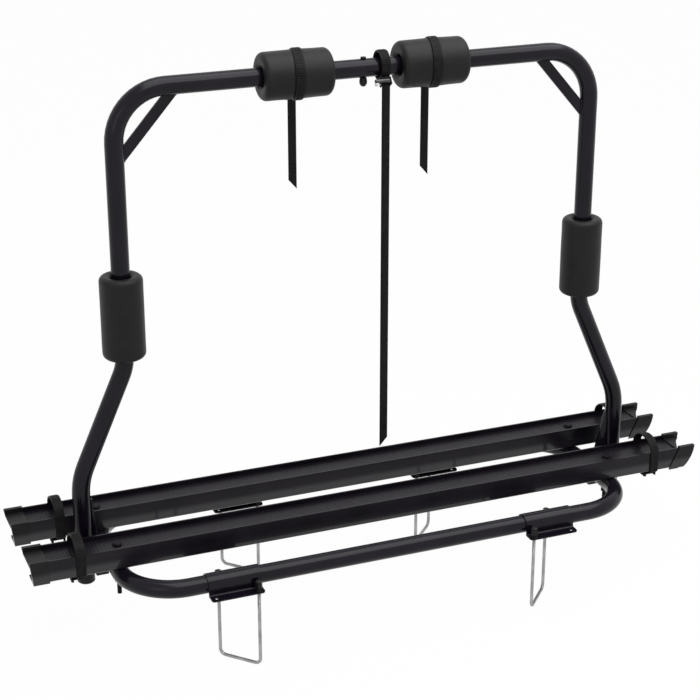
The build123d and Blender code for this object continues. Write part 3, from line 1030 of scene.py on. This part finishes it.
@dataclass
class PadBands:
    """Toothed bands drawn round the two top pads, a little askew."""

    bar_y: float = 0.028
    bar_z: float = 0.9916
    outer: float = 0.04365
    centre_x: float = 0.125
    width: float = 0.0165
    thickness: float = 0.0025
    points: int = 96

    def line(self) -> StrapLine:
        """Lay out the band's outer line, which crosses the bar's axis at x = 0.

        Returns:
            The closed line.
        """
        spots, outs = [], []
        for i in range(self.points):
            angle = 2 * pi * i / self.points
            out = Vector((0, cos(angle), sin(angle)))
            lean = self.outer * out.y * sin(BAND_SKEW) / cos(BAND_SKEW)
            spots.append(Vector((lean, self.bar_y, self.bar_z)) + out * self.outer)
            outs.append(out)
        return StrapLine(tuple(spots), tuple(outs), True)

    def build(self, rubber: bpy.types.Material) -> list[bpy.types.Object]:
        """Model both bands.

        Args:
            rubber: their finish.

        Returns:
            The bands.
        """
        pattern = ToothedStrap(self.width, self.thickness).band("pad_band", self.line())
        places = {
            f"{side.word}_pad_band": Matrix.Translation(
                (side.value * self.centre_x + BAND_OFFSET, 0, 0)
            )
            for side in Side
        }
        made = Bench.set_out(pattern, places)
        for side, band in zip(Side, made):
            hand_over(band, rubber, f"{side.word}_pad_strap_band")
        return made


@dataclass
class MiddleBand:
    """Toothed loop that stands upright on the top bar."""

    centre: Vector
    depth: float = 0.0217
    rise: float = 0.0255
    width: float = 0.0165
    thickness: float = 0.0024
    tooth_height: float = 0.0008
    points: int = 96

    def build(self, rubber: bpy.types.Material) -> bpy.types.Object:
        """Model the loop.

        Args:
            rubber: its finish.

        Returns:
            The loop.
        """
        spots, outs = [], []
        for i in range(self.points):
            angle = 2 * pi * i / self.points
            spots.append(self.centre + Vector((0, self.depth * cos(angle), self.rise * sin(angle))))
            outs.append(Vector((0, cos(angle) / self.depth, sin(angle) / self.rise)).normalized())
        strap = ToothedStrap(self.width, self.thickness, self.tooth_height)
        band = strap.band("middle_band", StrapLine(tuple(spots), tuple(outs), True))
        hand_over(band, rubber, "middle_strap_band")
        return band


@dataclass
class WheelStraps:
    """Toothed bands round the rail ends, arched above the channel."""

    reach: float = 0.03465
    low_z: float = 0.17735
    shoulder_z: float = 0.216
    arch_z: float = 0.2445
    corner: float = 0.005
    width: float = 0.017
    thickness: float = 0.0025

    @staticmethod
    def arc(
        middle: tuple[float, float],
        radii: tuple[float, float],
        start: float,
        sweep: float,
        steps: int,
    ) -> list[tuple[float, float]]:
        """Work out points along a stretch of an ellipse in Y and Z.

        Args:
            middle: the ellipse's centre.
            radii: its reach in Y and in Z.
            start: angle of the first point.
            sweep: angle from the first point to the last.
            steps: how many stretches lie between them.

        Returns:
            The points in order.
        """
        angles = [start + sweep * i / steps for i in range(steps + 1)]
        return [(middle[0] + radii[0] * cos(a), middle[1] + radii[1] * sin(a)) for a in angles]

    def line(self) -> StrapLine:
        """Lay out the outer line of a band round a rail along y = 0, from under the rail.

        Returns:
            The closed line.
        """
        side_y, corner_z = self.reach - self.corner, self.low_z + self.corner
        small, tall = (self.corner, self.corner), (self.reach, self.arch_z - self.shoulder_z)
        flat = self.arc((side_y, corner_z), small, -pi / 2, pi / 2, 12)
        flat += self.arc((0, self.shoulder_z), tall, 0, pi, 36)
        flat += self.arc((-side_y, corner_z), small, pi, pi / 2, 12)
        spots = [Vector((0, a, b)) for a, b in flat]
        outs = []
        for i in range(len(flat)):
            before, after = flat[i - 1], flat[(i + 1) % len(flat)]
            outs.append(Vector((0, after[1] - before[1], before[0] - after[0])).normalized())
        return StrapLine(tuple(spots), tuple(outs), True)

    def build(self, rubber: bpy.types.Material) -> list[bpy.types.Object]:
        """Model the four bands.

        Args:
            rubber: their finish.

        Returns:
            The bands.
        """
        pattern = ToothedStrap(self.width, self.thickness).band("wheel_band", self.line())
        ends = [f"{row.value}_{side.word}_wheel" for row in Row for side in Side]
        places = {}
        for end in ends:
            low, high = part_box(f"{end}_strap")
            middle = (low + high) / 2
            places[f"{end}_band"] = Matrix.Translation((middle.x, middle.y, 0))
        made = Bench.set_out(pattern, places)
        for end, band in zip(ends, made):
            hand_over(band, rubber, f"{end}_strap")
        return made


@dataclass
class HangingTail:
    """Loose end of a strap, hanging straight and cut off at a slant."""

    node: str
    name: str
    slant: float
    lift: float = 0.0
    width: float = 0.015
    thickness: float = 0.0014
    tooth_height: float = 0.0005
    spans: int = 5

    def hang(self) -> list[Vector]:
        """Hang the tail's middle line as a smooth curve down its run.

        Returns:
            The points read from it, from the top down.
        """
        low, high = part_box(self.node)
        middle, top = (low + high) / 2, high.z + self.lift
        Bench.clear()
        curve = bpy.data.curves.new(self.name + "_line", "CURVE")
        curve.dimensions = "3D"
        spline = curve.splines.new("NURBS")
        spline.points.add(self.spans)
        for i, point in enumerate(spline.points):
            point.co = (middle.x, middle.y, top + (low.z - top) * i / self.spans, 1)
        spline.order_u = 3
        spline.use_endpoint_u = True
        spline.resolution_u = 12
        guide = bpy.data.objects.new(self.name + "_line", curve)
        bpy.context.scene.collection.objects.link(guide)
        drawn = bpy.data.meshes.new_from_object(guide)
        points = [v.co.copy() for v in drawn.vertices]
        bpy.data.meshes.remove(drawn)
        bpy.data.objects.remove(guide)
        return points

    def build(self, rubber: bpy.types.Material) -> bpy.types.Object:
        """Model the tail.

        Args:
            rubber: its finish.

        Returns:
            The tail.
        """
        points = self.hang()
        outs = tuple(Vector((0, 1, 0)) for _ in points)
        line = StrapLine(tuple(points), outs, False)
        length = line.length()
        strap = ToothedStrap(self.width, self.thickness, self.tooth_height)
        tail = strap.flat(self.name, length, self.slant)
        strap.thicken(tail)
        strap.wrap(tail, line, -X_AXIS)
        Bench.tidy_shell(tail)
        Bench.smooth(tail, 40)
        hand_over(tail, rubber, self.node)
        middle_length = length - abs(self.slant) / 2
        end = line.at(middle_length)[0]
        points = [p for p in points if p.z > end.z] + [end]
        return tail


@dataclass
class LeftCapFloors:
    """Floor that runs on to the end inside each left-hand rail cap."""

    inset: float = 0.0006
    cut: float = 0.006
    nose: float = 0.0331
    half_width: float = 0.0265
    wall: float = 0.0022
    floor_z: float = 0.2142

    def build(self, plastic: bpy.types.Material) -> list[bpy.types.Object]:
        """Model one floor and set it in both caps.

        Args:
            plastic: the caps' finish.

        Returns:
            The floors.
        """
        outline = (
            (self.inset, self.half_width),
            (self.inset, -self.half_width),
            (self.cut, -self.half_width),
            (self.nose, self.half_width),
        )
        pattern = Bench.plate("cap_floor", outline, self.wall)
        places = {}
        for row in Row:
            end_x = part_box(f"{row.value}_rail_left_cap")[0].x
            low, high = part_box(f"{row.value}_rail")
            spot = (end_x, (low.y + high.y) / 2, self.floor_z - self.wall)
            places[f"{row.value}_left_cap_floor"] = Matrix.Translation(spot)
        made = Bench.set_out(pattern, places)
        for floor in made:
            hand_over(floor, plastic)
        return made


@dataclass
class FootBrackets:
    """Brackets between the hoop's feet and the loop: a thin tapered upright on a shelf."""

    shelf: float = 0.026
    shelf_reach: float = 0.014
    tip: float = 0.003
    top_z: float = 0.268
    taper_z: float = 0.172
    thin: float = 0.3
    edge: float = 0.0008

    def build(self, coat: bpy.types.Material) -> list[bpy.types.Object]:
        """Model both brackets, each to its own width.

        Args:
            coat: the paint of the tubes.

        Returns:
            The brackets.
        """
        made = []
        for side in Side:
            node = f"{side.word}_foot_bracket"
            low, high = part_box(node)
            wide, deep = high.x - low.x, high.y - low.y
            shelf_z = low.z + self.shelf
            outline = (
                (0, low.z),
                (0, self.top_z),
                (-self.tip, self.top_z),
                (self.shelf_reach - wide, self.taper_z),
                (self.shelf_reach - wide, shelf_z),
                (-wide, shelf_z),
                (-wide, low.z),
            )
            bracket = Bench.plate(f"{side.word}_foot_gusset", outline, deep)
            for vertex in bracket.data.vertices:
                if vertex.co.y > self.taper_z - 0.001:
                    vertex.co.z = deep / 2 + (vertex.co.z - deep / 2) * self.thin
            outer_x = low.x if side is Side.LEFT else high.x
            Bench.stand(bracket, Matrix.Diagonal((side.value, 1, 1, 1)))
            Bench.stand(bracket, Matrix.Rotation(pi / 2, 4, "X"))
            Bench.stand(bracket, Matrix.Translation((outer_x, high.y, 0)))
            Bench.tidy_shell(bracket)
            Bench.modify(bracket, "BEVEL", width=self.edge, segments=2, limit_method="ANGLE")
            Bench.smooth(bracket, 30)
            hand_over(bracket, coat, node)
            made.append(bracket)
        return made


@dataclass
class LeverBar:
    """Bright cross bar at the free end of the middle buckle's lever."""

    pin_y: float = 0.0073
    pin_z: float = 0.9654
    radius: float = 0.0032
    length: float = 0.027
    overhang: float = 0.0045
    forward: float = 0.01
    rise: float = 0.0086
    edge: float = 0.0012

    def build(self, steel: bpy.types.Material) -> bpy.types.Object:
        """Model the bar.

        Args:
            steel: its finish.

        Returns:
            The bar.
        """
        low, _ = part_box("middle_buckle_lever")
        Bench.clear()
        bpy.ops.mesh.primitive_cylinder_add(vertices=32, radius=self.radius, depth=self.length)
        bar = bpy.context.object
        bar.name = "middle_lever_bar"
        middle_x = low.x - self.overhang + self.length / 2
        place = Matrix.Translation((middle_x, self.pin_y - self.forward, self.pin_z + self.rise))
        Bench.stand(bar, place @ LYING)
        Bench.modify(bar, "BEVEL", width=self.edge, segments=3, limit_method="ANGLE")
        Bench.smooth(bar, 40)
        hand_over(bar, steel, body="middle_lever")
        return bar


@dataclass
class CapKnob:
    """Rounded knob on the end of the bolt under the top bar."""

    radius: float = 0.0068
    dome: float = 0.0085
    neck: float = 0.82
    side_share: float = 0.9

    def build(self, plastic: bpy.types.Material) -> bpy.types.Object:
        """Model the knob.

        Args:
            plastic: its finish.

        Returns:
            The knob.
        """
        low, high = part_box("hoop_knob")
        Bench.clear()
        bpy.ops.mesh.primitive_uv_sphere_add(segments=40, ring_count=24, radius=1)
        knob = bpy.context.object
        knob.name = "round_knob"
        wall = high.z - low.z - self.dome
        for vertex in knob.data.vertices:
            point = vertex.co
            if point.z < 0:
                vertex.co = point * Vector((self.radius, self.radius, self.dome))
                continue
            share = min(1.0, point.z / self.side_share)
            ring = hypot(point.x, point.y)
            width = self.radius * (1 - (1 - self.neck) * share**2)
            if point.z > self.side_share:
                width *= ring / (1 - self.side_share**2) ** 0.5
            turn = Vector((point.x, point.y, 0)) / max(ring, 1e-9)
            vertex.co = turn * width + Vector((0, 0, share * wall))
        middle = (low + high) / 2
        Bench.stand(knob, Matrix.Translation((middle.x, middle.y, low.z + self.dome)))
        Bench.tidy_shell(knob)
        Bench.smooth(knob, 40)
        hand_over(knob, plastic, "hoop_knob", body="knob")
        return knob


@dataclass
class WeldBeads:
    """Rippled fillet welds where the corner braces meet the hoop."""

    bead: float = 0.0019
    ripple: float = 0.09
    pitch: float = 0.0017
    tube: float = 0.016
    brace_half: float = 0.002
    stand_off: float = 0.0006
    leg_length: float = 0.0286
    bar_length: float = 0.0252
    lift: float = 0.0003

    def strand(self, name: str, length: float) -> bpy.types.Object:
        """Model one bead along Z with its ripples and rounded ends.

        Args:
            name: the object's name.
            length: how long the bead is.

        Returns:
            The bead, centred on the origin.
        """
        rings = max(6, round(length / self.pitch) * 3)
        Bench.clear()
        bpy.ops.mesh.primitive_cylinder_add(
            vertices=14, radius=self.bead, depth=length, end_fill_type="NGON"
        )
        strand = bpy.context.object
        strand.name = name
        Bench.pick_edges(strand, lambda a, b: abs(a.z - b.z) > length / 2)
        bpy.ops.mesh.subdivide(number_cuts=rings)
        Bench.pick_faces(strand, lambda c, n: abs(n.z) > 0.9)
        bpy.ops.mesh.inset(thickness=self.bead * 0.45)
        bpy.ops.object.mode_set(mode="OBJECT")
        for vertex in strand.data.vertices:
            height = vertex.co.z + length / 2
            crest = 1 + self.ripple * cos(2 * pi * height / self.pitch)
            end = min(height, length - height) / (1.4 * self.bead)
            taper = 0.5 + 0.5 * min(1.0, max(0.0, end)) ** 0.5
            vertex.co.x *= crest * taper
            vertex.co.y *= crest * taper
        Bench.smooth(strand, 60)
        return strand

    def build(self, coat: bpy.types.Material) -> list[bpy.types.Object]:
        """Model a bead on both faces of each end of each brace.

        Args:
            coat: the paint that covers them.

        Returns:
            The beads.
        """
        out = self.brace_half + self.stand_off
        step = self.tube - (self.tube**2 - out**2) ** 0.5 + self.lift
        up_the_leg: dict[str, Matrix] = {}
        along_the_bar: dict[str, Matrix] = {}
        for side in Side:
            low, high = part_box(f"{side.word}_corner_brace")
            middle_y = (low.y + high.y) / 2
            leg_x, bar_x = (low.x, high.x) if side is Side.LEFT else (high.x, low.x)
            for row in Row:
                y = middle_y + (out if row is Row.REAR else -out)
                leg = Vector((leg_x + side.value * step, y, low.z + self.leg_length / 2))
                bar = Vector((bar_x + side.value * self.bar_length / 2, y, high.z + step))
                name = f"{side.word}_brace_{row.value}"
                up_the_leg[f"{name}_leg_weld"] = Matrix.Translation(leg)
                along_the_bar[f"{name}_bar_weld"] = Matrix.Translation(bar) @ LYING
        made = Bench.set_out(self.strand("leg_weld", self.leg_length), up_the_leg)
        made += Bench.set_out(self.strand("bar_weld", self.bar_length), along_the_bar)
        for bead in made:
            hand_over(bead, coat)
        return made


@dataclass
class PaintShop:
    """Gives every carried-over solid its finish."""

    rail_floor: float = 0.212
    wire_thread: tuple[float, float] = (0.118, 0.1475)
    bolt_thread: tuple[float, float] = (0.1, 0.146)

    def __post_init__(self) -> None:
        """Mix the finishes once."""
        self.tube = PowderCoat("tube powder").make()
        self.rail = RailCoat("rail coat", self.rail_floor).make()
        self.cap = MouldedPlastic(
            "end cap plastic", (0.0048, 0.0052, 0.0048), (0.0095, 0.01, 0.0095), gloss=0.75
        ).make()
        self.bolt_head = MouldedPlastic(
            "bolt head coat", (0.0045, 0.0034, 0.006), (0.0118, 0.0086, 0.0145), 0.45, shine=0.08
        ).make()
        self.buckle = MouldedPlastic(
            "buckle plastic", (0.0042, 0.0047, 0.0042), (0.008, 0.0086, 0.008), 0.5, shine=0.08
        ).make()
        self.nut = MouldedPlastic(
            "cap nut plastic", (0.0042, 0.0042, 0.0046), (0.0078, 0.0078, 0.0084), 0.34
        ).make()
        self.wire = DrawnSteel("plated wire", thread=self.wire_thread).make()
        self.bolt = BlackBolt("black bolt", self.bolt_thread).make()
        self.pin = BrightPin("bright pin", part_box("middle_strap_band")[0].x).make()
        self.cross_bar = DrawnSteel("bright cross bar", (0.1, 0.1, 0.104), 0.3).make()
        self.foam = ClosedFoam("closed foam").make()
        self.rubber = StrapRubber("strap rubber").make()

    def choose(self, node: str) -> bpy.types.Material:
        """Finish of one solid.

        Args:
            node: the solid's name.

        Returns:
            Its material.
        """
        by_name = {
            "middle_buckle_lever": self.pin,
            "rail_bolts": self.bolt_head,
            "rail_nuts": self.bolt,
            "hoop_bolt": self.bolt,
            "hoop_knob": self.nut,
        }
        by_ending = {
            "_rail": self.rail,
            "_cap": self.cap,
            "_plug": self.nut,
            "_ubolt": self.wire,
            "_nuts": self.nut,
            "_pad": self.foam,
        }
        by_word = {"buckle": self.buckle, "strap": self.rubber}
        fitting = [paint for name, paint in by_name.items() if node == name]
        fitting += [paint for ending, paint in by_ending.items() if node.endswith(ending)]
        fitting += [paint for word, paint in by_word.items() if word in node]
        return fitting[0] if fitting else self.tube

    def paint(self, nodes: dict[str, bpy.types.Object]) -> None:
        """Put each solid's finish on it.

        Args:
            nodes: the frame's solids by name.
        """
        for name, solid in nodes.items():
            solid.data.materials.clear()
            solid.data.materials.append(self.choose(name))


@dataclass(frozen=True)
class SoftLamp:
    """A square area lamp: where it hangs, what it points at, its side and its watts."""

    name: str
    place: Triple
    target: Triple
    size: float
    power: float

    def hang(self) -> None:
        """Put the lamp in the scene."""
        data = bpy.data.lights.new(self.name, "AREA")
        data.shape = "SQUARE"
        data.size = self.size
        data.energy = self.power
        lamp = bpy.data.objects.new(self.name, data)
        lamp.location = self.place
        ray = Vector(self.target) - Vector(self.place)
        lamp.rotation_euler = ray.to_track_quat("-Z", "Y").to_euler()
        bpy.context.scene.collection.objects.link(lamp)


@dataclass
class Studio:
    """Plain white room: floor, world, lamps and the camera."""

    camera_place: Triple = (-1.11227, -2.70806, 1.6531)
    camera_tilt: float = 68.236
    camera_turn: float = -21.686
    lens: float = 90.168
    film_width: float = 36.0
    floor_size: float = 40.0
    floor_paint: float = 0.85
    white_share: float = 0.98
    room_light: float = 0.25
    lamps: tuple[SoftLamp, ...] = (
        SoftLamp("overhead", (0.8, -0.9, 3.1), (0.8, -0.9, 2.1), 3.4, 105),
        SoftLamp("fill", (-2.6, -2.4, 1.6), (0, 0, 0.5), 1.6, 6),
    )

    def background_rays(self, recipe: Recipe) -> Level:
        """Tell the rays that see the background from those that light the object.

        Args:
            recipe: the nodes that ask.

        Returns:
            One for rays of the camera, of reflections and through glass.
        """
        rays = recipe.add("ShaderNodeLightPath").outputs
        seen = Level(recipe, rays["Is Camera Ray"]) + Level(recipe, rays["Is Glossy Ray"])
        return recipe.math("MINIMUM", seen + Level(recipe, rays["Is Transmission Ray"]), 1.0)

    def lay_floor(self) -> None:
        """Lay the pale floor, white to the camera but for a soft shadow."""
        Bench.clear()
        bpy.ops.mesh.primitive_plane_add(size=self.floor_size, location=(0, 0, 0))
        floor = bpy.context.object
        floor.name = "floor"
        recipe = Recipe("pale floor")
        grey = (self.floor_paint, self.floor_paint, self.floor_paint, 1)
        pale = recipe.add("ShaderNodeBsdfDiffuse", None, {"Color": grey})
        white = recipe.add("ShaderNodeEmission", None, {"Color": (1, 1, 1, 1), "Strength": 1.0})
        share = self.background_rays(recipe) * self.white_share
        recipe.add("ShaderNodeOutputMaterial", None, {"Surface": recipe.mix(share, pale, white)})
        floor.data.materials.append(recipe.material)

    def light_room(self) -> None:
        """Light the world evenly and show it white."""
        world = bpy.data.worlds.new("white room")
        bpy.context.scene.world = world
        recipe = Recipe("white room", world)
        dim, bright = (
            recipe.add("ShaderNodeBackground", None, {"Color": (1, 1, 1, 1), "Strength": strength})
            for strength in (self.room_light, 1.0)
        )
        surface = recipe.mix(self.background_rays(recipe), dim, bright)
        recipe.add("ShaderNodeOutputWorld", None, {"Surface": surface})

    def set_camera(self) -> None:
        """Put the camera where the photograph was taken from."""
        data = bpy.data.cameras.new("camera")
        data.lens = self.lens
        data.sensor_width = self.film_width
        camera = bpy.data.objects.new("camera", data)
        camera.location = self.camera_place
        camera.rotation_euler = Euler((radians(self.camera_tilt), 0, radians(self.camera_turn)))
        bpy.context.scene.collection.objects.link(camera)
        bpy.context.scene.camera = camera

    def build(self) -> None:
        """Set up the whole room."""
        bpy.context.scene.view_settings.view_transform = "Standard"
        self.lay_floor()
        self.light_room()
        for lamp in self.lamps:
            lamp.hang()
        self.set_camera()


def report(*pieces: bpy.types.Object) -> None:
    """Log the name of each finished piece."""
    for piece in pieces:
        log.info("%s", piece.name)


def main() -> None:
    """Build the scene in order."""
    logging.basicConfig(level=logging.INFO, format="%(message)s")
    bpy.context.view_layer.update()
    shop = PaintShop()
    shop.paint(frame["nodes"])
    log.info("painted %d solids", len(frame["nodes"]))
    report(*FoamPads().build(shop.foam))
    report(*PadBands().build(shop.rubber))
    low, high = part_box("middle_strap_band")
    report(MiddleBand((low + high) / 2).build(shop.rubber))
    report(*WheelStraps().build(shop.rubber))
    tails = (
        HangingTail("left_pad_strap_tail", "left_pad_tail", 0.017),
        HangingTail("right_pad_strap_tail", "right_pad_tail", 0.017),
        HangingTail("middle_strap_tail", "middle_tail", -0.017, lift=0.005),
    )
    report(*(tail.build(shop.rubber) for tail in tails))
    report(*LeftCapFloors().build(shop.cap))
    report(*FootBrackets().build(shop.tube))
    report(LeverBar().build(shop.cross_bar))
    report(CapKnob().build(shop.nut))
    report(*WeldBeads().build(shop.tube))
    Studio().build()


if __name__ == "__main__":
    main()
